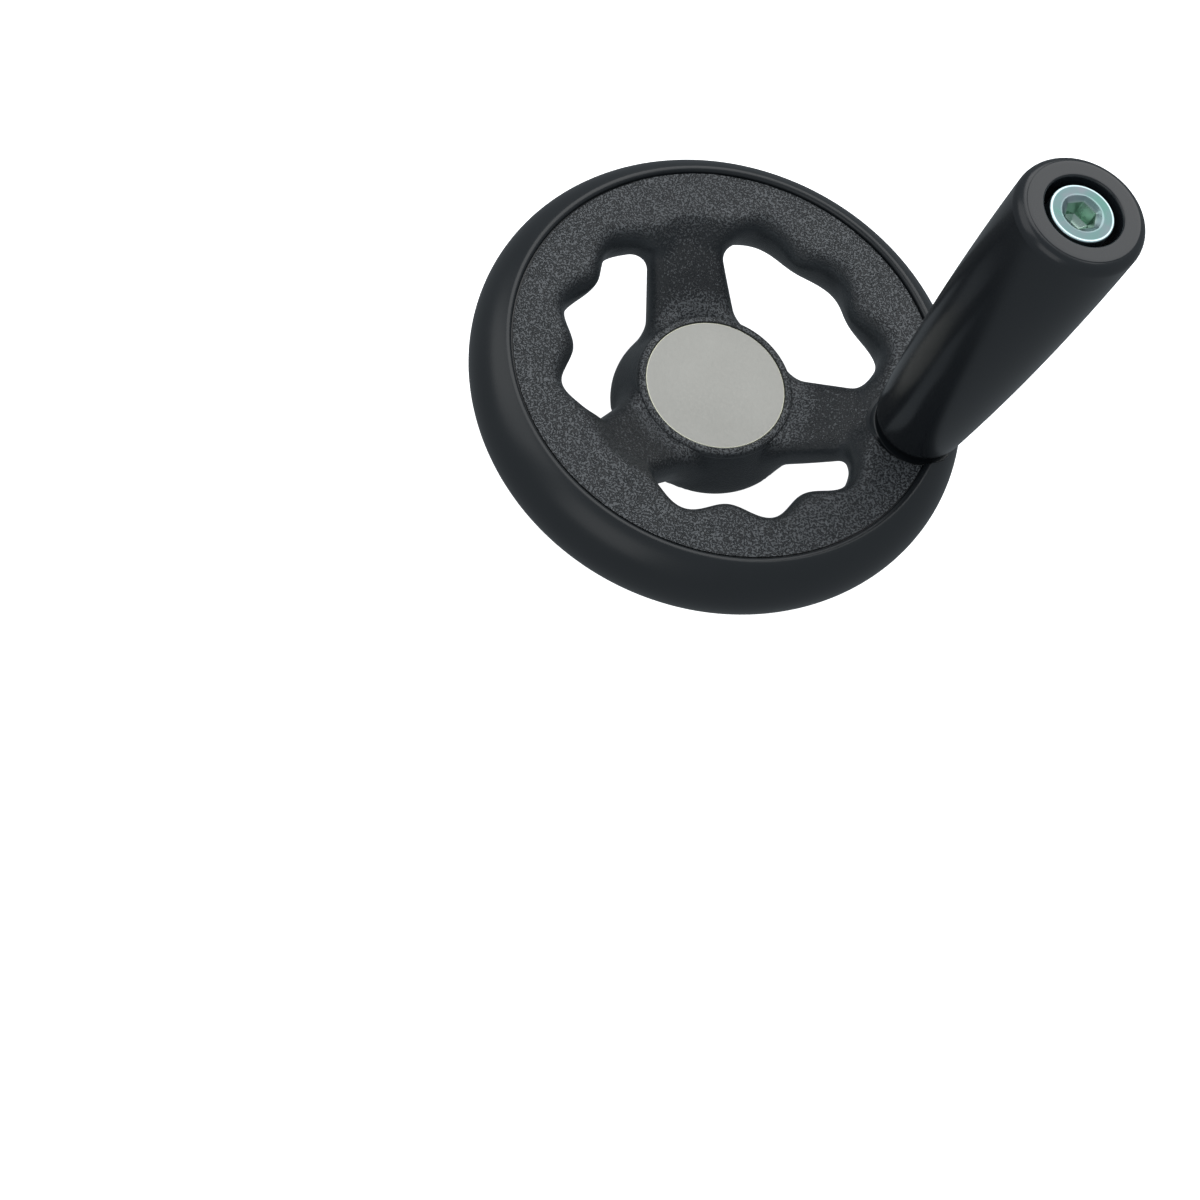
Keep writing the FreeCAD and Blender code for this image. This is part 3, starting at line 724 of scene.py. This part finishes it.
def window_sector():
    """The skin round one window, as sections from the front edge to the back edge.

    Each section stands upright from a point of the third's edge to the window's waist. Upright
    rays give its front and back, and rays fanned out from a point inside give its round nose.
    """
    half = math.pi / SPOKE_COUNT
    window_centre, window_reach = 32.5, 30.0
    above, below = 70.0, -10.0
    nose_inset, nose_share, nose_reach = 6.0, 0.8, 15.0

    def field(x, y, z):
        """The moulding's distance, turned so that this window lies along the X axis."""
        turned_x = x * math.cos(half) - y * math.sin(half)
        return moulding_field(turned_x, x * math.sin(half) + y * math.cos(half), z)

    def outside_waist(x, y, _):
        """The moulding's distance at its waist, reversed: negative in the window's clear space."""
        return -field(x, y, waist_height(np.hypot(x, y)))

    front_edge, back_edge = sector_edge(TUCK_FRONT), sector_edge(TUCK_BACK)
    look = np.arctan2(front_edge[:, 1], front_edge[:, 0] - window_centre)
    hub_from = ALONG_SEAM + ALONG_SPOKE
    first = look[hub_from]
    look[hub_from:hub_from + ALONG_HUB] = np.linspace(first, TURN - first, ALONG_HUB, endpoint=False)
    level = np.zeros(look.shape)
    middle = (level + window_centre, level, level)
    away = (middle[0] + window_reach * np.cos(look), window_reach * np.sin(look), level)
    waist = np.stack(rays_to_surface(outside_waist, middle, away)[:2], 1)

    inward = front_edge - waist
    length = np.hypot(*inward.T)[:, None]
    inside = waist + inward / length * np.minimum(nose_inset, nose_share * length)
    share = np.linspace(0, 1, FRONT_STEPS, endpoint=False)
    runs = []
    for edge, height in ((front_edge, above), (back_edge, below)):
        plan = edge[:, None, :] + (inside - edge)[:, None, :] * share[None, :, None]
        x, y = plan[..., 0], plan[..., 1]
        start = (x, y, waist_height(np.hypot(x, y)))
        runs.append(rays_to_surface(field, start, (x, y, np.full(x.shape, height))))
    front, back = runs

    fan = np.linspace(math.pi / 2, -math.pi / 2, NOSE_STEPS)
    out = -inward / length
    start = [np.repeat(a[:, None], NOSE_STEPS, 1)
             for a in (inside[:, 0], inside[:, 1], waist_height(np.hypot(*inside.T)))]
    end = [start[0] + nose_reach * out[:, :1] * np.cos(fan),
           start[1] + nose_reach * out[:, 1:] * np.cos(fan),
           start[2] + nose_reach * np.sin(fan)]
    nose = rays_to_surface(field, start, end)
    sections = [np.concatenate([f, n, b[:, ::-1]], 1) for f, n, b in zip(front, nose, back)]
    return np.stack(sections, 2)


def rim_profile():
    """The rim outside the seam: groove, lip, round section, lip and groove, front to back.

    The lip's round lies in the round section and touches it, so its centre is nearer to the
    section's centre by its own radius.
    """
    centre = RIM_RADIUS - RIM_SECTION
    across = LIP_WALL + LIP_ROUND - centre
    rise = math.sqrt((RIM_SECTION - LIP_ROUND) ** 2 - across ** 2)
    meet = math.degrees(math.atan2(rise, across))
    floor = BAND_RISE - SEAM_DEPTH
    half = joined(
        line((SEAM_RADIUS, BAND_RISE), (SEAM_RADIUS, floor), 3),
        line((SEAM_RADIUS, floor), (LIP_WALL, floor), 3),
        line((LIP_WALL, floor), (LIP_WALL, rise), 3),
        arc((LIP_WALL + LIP_ROUND, rise), LIP_ROUND, 180, meet, 8),
        arc((centre, 0), RIM_SECTION, meet, 0, 18))
    mirrored = half[::-1] * (1, -1)
    return joined(half, mirrored) + (0, RIM_MIDDLE)


def wheel_moulding():
    """Rim and inner skin in one closed mesh, smooth outside the seam and grained inside it."""
    sector = window_sector()
    rows, columns = sector.shape[:2]
    points, faces = [], []
    count = 0
    half = math.pi / SPOKE_COUNT
    hub_from = ALONG_SEAM + ALONG_SPOKE
    for k in range(SPOKE_COUNT):
        angle = half + k * 2 * half
        x = sector[..., 0] * math.cos(angle) - sector[..., 1] * math.sin(angle)
        y = sector[..., 0] * math.sin(angle) + sector[..., 1] * math.cos(angle)
        points.append(np.stack([x, y, sector[..., 2]], 2).reshape(-1, 3))
        inner = np.arange(hub_from, hub_from + ALONG_HUB + 1) * columns + count
        last = inner + columns - 1
        faces += [grid_faces(rows, columns, wrap_rows=True) + count,
                  np.stack([inner[1:], inner[:-1], last[:-1], last[1:]], 1)]
        count += rows * columns
    grained = sum(len(f) for f in faces)
    profile = rim_profile()
    steps = SPOKE_COUNT * ALONG_SEAM
    points.append(ringed(np.tile(profile[:, 0], (steps, 1)), profile[:, 1]))
    faces.append(grid_faces(steps, len(profile), wrap_rows=True)[:, ::-1] + count)
    faces = np.concatenate(faces)
    piece = mesh_object("wheel_moulding", np.concatenate(points), faces, RIM_BLACK)
    piece.data.materials.append(WEB_BLACK)
    slots = (np.arange(len(faces)) < grained).astype(int)
    piece.data.polygons.foreach_set("material_index", slots)
    close_seams(piece)
    cut_away(piece, seat_cutter())
    return piece


def seat_cutter():
    """What is cut from the moulding at the handle: a seat in front, one behind, and the hole.

    It is a stepped round bar on the handle's axis, kept inside the seam behind.
    """
    above, below = 60.0, -5.0
    front, back = PAD_TOP - LAP, BOSS_FACE + LAP
    hole = INSERT_RADIUS - LAP
    profile = joined(
        [(0.0, above)], line((SEAT_RADIUS, above), (SEAT_RADIUS, front), 2),
        line((hole, front), (hole, back), 2),
        line((BOSS_RADIUS, back), (BOSS_RADIUS, below), 2), [(0.0, below)])
    limit = to_circle(around(SEAT_STEPS), SEAM_RADIUS + SEAM_WIDTH / 2)
    reach = np.minimum(profile[:, 0], np.where(profile[:, 1] < RIM_MIDDLE, limit, np.inf))
    return turned("cutter", reach, profile[:, 1], WEB_BLACK, HANDLE_X)


def to_circle(turn, radius):
    """Distance from the handle's axis, in a direction, to a circle about the wheel's axis."""
    across = HANDLE_X * np.cos(turn)
    return -across + np.sqrt(across ** 2 + radius ** 2 - HANDLE_X ** 2)


def cut_away(piece, cutter):
    """Takes the cutter's volume from the piece, then deletes the cutter."""
    cut = piece.modifiers.new("cut", "BOOLEAN")
    cut.object = cutter
    cut.operation = "DIFFERENCE"
    cut.solver = "EXACT"
    graph = bpy.context.evaluated_depsgraph_get()
    result = bpy.data.meshes.new_from_object(piece.evaluated_get(graph))
    piece.modifiers.clear()
    piece.data = result
    bpy.data.objects.remove(cutter)


def hub_core():
    """The hub's own turned rings: front ring, disc seat, neck and back flange, as one loop.

    Between the neck and the ring the loop runs inside the moulding's skin.
    """
    seat = DISC_LOW[2]
    inner = SLEEVE_RADIUS - LAP
    edge = FLANGE_BACK + FLANGE_THICKNESS
    corner, mouth = 0.3, 0.25
    within = NECK_RADIUS + 1.4
    neck_top, turn_in = (NECK_RADIUS, NECK_HEIGHT + PLAY), (within, NECK_HEIGHT + 0.15)
    run_up, run_out = (within, NECK_HEIGHT + 1.5), (TUCK_FRONT, HUB_FRONT - 3.0)
    ring_foot = (RING_RADIUS, HUB_FRONT - 1.8)
    profile = joined(
        line((inner, FLANGE_BACK), (FLANGE_RADIUS - FLANGE_ROUND, FLANGE_BACK), 6),
        arc((FLANGE_RADIUS - FLANGE_ROUND, FLANGE_BACK + FLANGE_ROUND), FLANGE_ROUND, -90, 0, 9),
        line((FLANGE_RADIUS, FLANGE_BACK + FLANGE_ROUND), (FLANGE_RADIUS, edge - corner), 3),
        arc((FLANGE_RADIUS - corner, edge - corner), corner, 0, 90, 4),
        line((FLANGE_RADIUS - corner, edge), (NECK_RADIUS, edge), 2),
        line((NECK_RADIUS, edge), neck_top, 2),
        line(neck_top, turn_in, 3),
        line(run_up, run_out, 3),
        line(run_out, ring_foot, 2),
        arc((RING_RADIUS - RING_ROUND, HUB_FRONT - RING_ROUND), RING_ROUND, 0, 90, 9),
        line((RING_RADIUS - RING_ROUND, HUB_FRONT), (DISC_RECESS + mouth, HUB_FRONT), 4),
        arc((DISC_RECESS + mouth, HUB_FRONT - mouth), mouth, 90, 180, 5),
        line((DISC_RECESS, HUB_FRONT - mouth), (DISC_RECESS, seat), 3),
        line((DISC_RECESS, seat), (inner, seat), 3))
    reach = np.tile(profile[:, 0], (192, 1))
    return turned("hub_core", reach, profile[:, 1], WEB_BLACK, closed=True)


def seat_piece(name, face, side, outline, wall):
    """A flat round seat on the handle's axis with a rounded edge and a wall behind it.

    outline gives the edge's distance from the axis in each direction, and side is 1 for a seat
    that faces the handle and -1 for one that faces back.
    """
    edge = outline(around(SEAT_STEPS))
    hole_depth, foot_inset, foot_drop = 2.0, 2.0, 0.5
    share = np.linspace(0, 1, 8)
    swing = np.radians(np.linspace(10, 90, 8))
    flat = INSERT_RADIUS + (edge - SEAT_ROUND - INSERT_RADIUS) * share
    rounded = edge - SEAT_ROUND + SEAT_ROUND * np.sin(swing)
    hole = np.full(edge.shape, INSERT_RADIUS)
    reach = np.concatenate([hole, flat, rounded, edge, edge - foot_inset], 1)
    drop = np.concatenate(
        [[hole_depth], 0 * share, SEAT_ROUND * (1 - np.cos(swing)), [wall, wall + foot_drop]])
    return turned(name, reach, face - side * drop, WEB_BLACK, HANDLE_X)


def pad_outline(turn):
    """The front pad's edge: wider where it is cut into the rim than where it stands proud.

    The widening follows a smooth step of the band's height above the pad.
    """
    x, y = HANDLE_X + PAD_RADIUS * np.cos(turn), PAD_RADIUS * np.sin(turn)
    high = RIM_MIDDLE + band_height(np.hypot(x, y))
    share = np.clip(high - PAD_TOP + 0.5, 0, 1)
    edge = PAD_RADIUS + (SEAT_RADIUS - PAD_RADIUS - PLAY) * share * share * (3 - 2 * share)
    return np.minimum(edge, to_circle(turn, PAD_STOP))


def boss_outline(turn):
    """The back boss's edge: round, but stopped by the lip's inner wall."""
    return np.minimum(BOSS_RADIUS - PLAY, to_circle(turn, LIP_WALL - PLAY))


# The grip, its screw and the threads

def grip_piece():
    """The revolving grip, turned: its foot's rounding, a barrel arc and a rounded end.

    The barrel is its chord bowed outwards by a parabola as high as the arc's sagitta.
    """
    foot, top = GRIP_LOW[2], GRIP_HIGH[2]
    start = np.array((BARREL_LOW, foot + FOOT_HEIGHT))
    end = np.array((GRIP_HIGH[0] - HANDLE_X, top - EDGE_HEIGHT))
    run, rise = end - start
    tilt = math.atan2(run, rise)
    sag = BARREL_CURVE - math.sqrt(BARREL_CURVE ** 2 - (math.hypot(run, rise) / 2) ** 2)
    along = np.linspace(0, 1, 60)[:, None]
    bow = 4 * sag * along * (1 - along)
    barrel = start * (1 - along) + end * along + bow * (math.cos(tilt), -math.sin(tilt))
    foot_from = math.degrees(math.atan2(-FOOT_CENTRE[1], FOOT_RADIUS - FOOT_CENTRE[0]))
    foot_to = math.degrees(math.asin((FOOT_HEIGHT - FOOT_CENTRE[1]) / FOOT_ROUND))
    mouth, chamfer = COUNTERBORE + MOUTH_ROUND, 0.3
    flat_edge, top_edge = (TOP_FLAT, top - 0.05), (TOP_FLAT - 0.4, top)
    profile = joined(
        line((GRIP_BORE, foot + 3), (GRIP_BORE, foot + chamfer), 3),
        line((GRIP_BORE + chamfer, foot), (FOOT_RADIUS, foot), 6),
        arc((FOOT_CENTRE[0], foot + FOOT_CENTRE[1]), FOOT_ROUND, foot_from, foot_to, 20),
        barrel,
        arc((end[0] - EDGE_ROUND, end[1] + 0.05), EDGE_ROUND, 0, 78, 18),
        line(flat_edge, top_edge, 3),
        line(top_edge, (mouth, top), 8),
        arc((mouth, top - MOUTH_ROUND), MOUTH_ROUND, 90, 180, 6),
        line((COUNTERBORE, top - MOUTH_ROUND), (COUNTERBORE, COUNTERBORE_FLOOR), 12),
        line((COUNTERBORE, COUNTERBORE_FLOOR), (GRIP_BORE, COUNTERBORE_FLOOR), 6),
        line((GRIP_BORE, COUNTERBORE_FLOOR), (GRIP_BORE, COUNTERBORE_FLOOR - BORE_SEEN), 4))
    reach = np.tile(profile[:, 0], (256, 1))
    return turned("revolving_grip", reach, profile[:, 1], GRIP_BLACK, HANDLE_X)


def screw_piece():
    """The handle's screw: rings from its socket's floor out over the head and down the shank.

    A hexagon's radius is its half width over the cosine of the angle to the nearest flat's
    middle, held to the corners' rounding.
    """
    top, end = SPINDLE_HIGH[2], SPINDLE_LOW[2]
    turn = around(192)
    circle = np.ones(turn.shape)
    sixth = TURN / 6
    socket = SOCKET_HALF / np.cos((turn + sixth / 2) % sixth - sixth / 2)
    socket = np.minimum(socket, SOCKET_CORNER)
    floor = top - SOCKET_DEPTH
    curve = HEAD_RADIUS - HEAD_FLAT
    # A shallow drilled pit under the socket, then the socket's walls, countersink, head and shank
    rings = [(0.02 * socket, floor - 1.0), (0.6 * socket, floor - 0.8), (socket, floor)]
    rings += [(socket, height) for height in np.linspace(floor, top - SINK_DEPTH, 8)]
    rings += [(socket + (SINK_RADIUS - socket) * share, top - SINK_DEPTH + SINK_DEPTH * share)
              for share in np.linspace(0.1, 1, 6)]
    rings += [(circle * radius, top) for radius in np.linspace(SINK_RADIUS, HEAD_FLAT, 8)[1:]]
    rings += [(circle * (HEAD_FLAT + curve * math.sin(angle)), top - curve * (1 - math.cos(angle)))
              for angle in np.radians(np.linspace(12, 90, 8))]
    rings += [(circle * HEAD_RADIUS, height)
              for height in np.linspace(top - 1.4, top - HEAD_HEIGHT, 8)]
    rings += [(circle * radius, height) for radius, height in (
        (HEAD_RADIUS - 0.4, top - HEAD_HEIGHT), (SHANK_RADIUS, top - HEAD_HEIGHT),
        (SHANK_RADIUS, top - 12.0), (SHANK_RADIUS, end + SCREW_END),
        (END_RADIUS, end + SCREW_END - 0.1), (END_RADIUS, end + 0.6),
        (END_RADIUS - 0.6, end), (0.02, end))]
    reach = np.concatenate([radius for radius, _ in rings], 1)
    height = np.array([height for _, height in rings])
    return turned("handle_screw", reach, height, ZINC, HANDLE_X)


def thread_piece(name, start, axis, length, thread, material):
    """An inner thread: a ridge that winds round the hole's axis, standing in from its wall.

    After t turns, the point at p across the ridge lies t pitches and p along the axis. The ridge
    is a blunt V whose foot is in the wall, and it fades in and out at its ends.
    """
    major, pitch = thread
    axis = np.asarray(axis, float)
    side = np.cross(axis, (0.0, 0.0, 1.0) if abs(axis[2]) < 0.9 else (1.0, 0.0, 0.0))
    side = side / np.linalg.norm(side)
    other = np.cross(axis, side)
    foot, crest, height, sunk = 0.44, 0.12, 0.541 * pitch, 0.08
    steps_a_turn, fade_turn = 40, 1.5
    across = np.array([-foot, -crest, crest, foot]) * pitch
    depth = np.array([-sunk, height, height, -sunk])
    steps = int(length / pitch * steps_a_turn)
    turn = np.linspace(0, length / pitch * TURN, steps)[:, None]
    fade = np.clip(np.minimum(turn, turn[-1] - turn) / fade_turn, 0, 1)
    reach = major - depth * fade
    along = turn * pitch / TURN + across * fade
    spots = (np.asarray(start, float) + along[..., None] * axis
             + (reach * np.cos(turn))[..., None] * side + (reach * np.sin(turn))[..., None] * other)
    return mesh_object(name, spots.reshape(-1, 3), grid_faces(steps, len(across)), material)


# The pieces

def on_wheel(piece, slot, *nodes):
    """A piece that turns with the wheel and stands for one or more of its nodes."""
    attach(piece, "wheel")
    if nodes:
        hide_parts(*nodes)


def dress_node(name, material):
    """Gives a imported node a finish."""
    packed = bpy.data.objects[name]
    for place in packed.material_slots:
        place.material = material


on_wheel(wheel_moulding(), "wheel_moulding", "wheel_body")
on_wheel(hub_core(), "wheel_moulding", "wheel_body")
on_wheel(seat_piece("handle_pad", PAD_TOP, 1, pad_outline, PAD_WALL),
         "wheel_moulding", "wheel_body")
on_wheel(seat_piece("handle_boss", BOSS_FACE, -1, boss_outline, BOSS_WALL),
         "wheel_moulding", "wheel_body")

grip = grip_piece()
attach(grip, "handle")
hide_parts("handle_grip")
on_wheel(screw_piece(), "spindle_steel", "handle_spindle")

hole_axis = np.array((math.cos(HOLE_TURN), math.sin(HOLE_TURN), 0.0))
on_wheel(thread_piece("set_screw_thread", hole_axis * HOLE_START + (0, 0, HOLE_HEIGHT), hole_axis,
                      SLEEVE_RADIUS - HOLE_START - HOLE_STOP, HOLE_THREAD, SLEEVE_METAL),
         "sleeve_metal")
on_wheel(thread_piece("insert_thread", (HANDLE_X, 0, INSERT_START), (0, 0, 1), INSERT_LENGTH,
                      INSERT_THREAD, BRASS),
         "insert_brass")

dress_node("hub_sleeve", SLEEVE_METAL)
dress_node("cover_disc", DISC_METAL)
dress_node("handle_insert", BRASS)


# Floor, light and camera

def floor_white():
    """The floor's even matt white, clear from below."""
    material, tree, shader, _ = new_material(
        "pale_floor", Base_Color=(0.9, 0.9, 0.9, 1), Roughness=0.9, Specular_IOR_Level=0.0,
        Emission_Color=(1, 1, 1, 1), Emission_Strength=1.0)
    side = node(tree, "ShaderNodeNewGeometry")
    tree.links.new(math_node(tree, "SUBTRACT", 1.0, side.outputs["Backfacing"]),
                   shader.inputs["Alpha"])
    return material


def floor():
    """A round plain floor a little below the wheel, far wider than the view."""
    steps, reach, height = 96, 6000.0, -0.5
    points = ringed(np.full((steps, 1), reach), np.array([height]))
    piece = mesh_object("floor", points, np.arange(steps)[None, :], floor_white())
    piece.visible_glossy = False
    piece.visible_diffuse = False


def light(name, place, aim, size, power):
    """A soft square lamp, in metres and watts."""
    lamp = bpy.data.lights.new(name, "AREA")
    lamp.shape = "SQUARE"
    lamp.size, lamp.energy = size, power
    holder = bpy.data.objects.new(name, lamp)
    bpy.context.scene.collection.objects.link(holder)
    holder.location = place
    holder.rotation_euler = (Vector(aim) - Vector(place)).to_track_quat("-Z", "Y").to_euler()


def studio():
    """A white backdrop behind dim surroundings, and soft lamps behind, at the left and in front.

    The surroundings grow lighter from below the back to above the front. The wheel lies on the
    floor, and -Y is the front, where the camera stands.
    """
    world = bpy.data.worlds.new("studio")
    bpy.context.scene.world = world
    world.use_nodes = True
    tree = world.node_tree
    backdrop = tree.nodes["Background"]
    backdrop.inputs["Color"].default_value = (1, 1, 1, 1)
    backdrop.inputs["Strength"].default_value = 1.0
    dim = node(tree, "ShaderNodeBackground", inputs={"Color": (0.84, 0.93, 1.0, 1)})
    around_us = node(tree, "ShaderNodeTexCoord")
    tilt = node(tree, "ShaderNodeVectorMath", operation="DOT_PRODUCT")
    tree.links.new(around_us.outputs["Generated"], tilt.inputs[0])
    tilt.inputs[1].default_value = (0.0, -0.6, 0.8)
    tree.links.new(ranged(tree, tilt.outputs["Value"], -0.8, 0.3, 0.225, 0.42),
                   dim.inputs["Strength"])
    path = node(tree, "ShaderNodeLightPath")
    mix = node(tree, "ShaderNodeMixShader")
    tree.links.new(path.outputs["Is Camera Ray"], mix.inputs[0])
    tree.links.new(dim.outputs[0], mix.inputs[1])
    tree.links.new(backdrop.outputs[0], mix.inputs[2])
    tree.links.new(mix.outputs[0], tree.nodes["World Output"].inputs["Surface"])
    light("key", (0.1, 0.75, 1.05), (0, 0, 0.03), 1.4, 9.2)
    light("left", (-0.95, 0.05, 0.75), (0, 0, 0.05), 1.0, 2.6)
    light("front", (-0.4, -1.0, 0.75), (0, 0, 0.05), 0.8, 1.5)


def camera():
    """The photograph's viewpoint: high over the wheel and a little in front, with no shift."""
    lens = bpy.data.cameras.new("camera")
    lens.sensor_width, lens.lens = 36.0, 45.14
    lens.clip_start, lens.clip_end = 0.01, 50.0
    holder = bpy.data.objects.new("camera", lens)
    bpy.context.scene.collection.objects.link(holder)
    right = Vector((0.94141, 0.27786, 0.19117))
    down = Vector((0.3316, -0.86608, -0.3741))
    view = Vector((0.06162, 0.41557, -0.90747))
    turn = Matrix((right, -down, -view)).transposed()
    place = Vector((-0.032647, -0.21159, 0.343115))
    holder.matrix_world = Matrix.Translation(place) @ turn.to_4x4()
    bpy.context.scene.camera = holder


floor()
studio()
camera()
bpy.context.scene.view_settings.view_transform = "Standard"
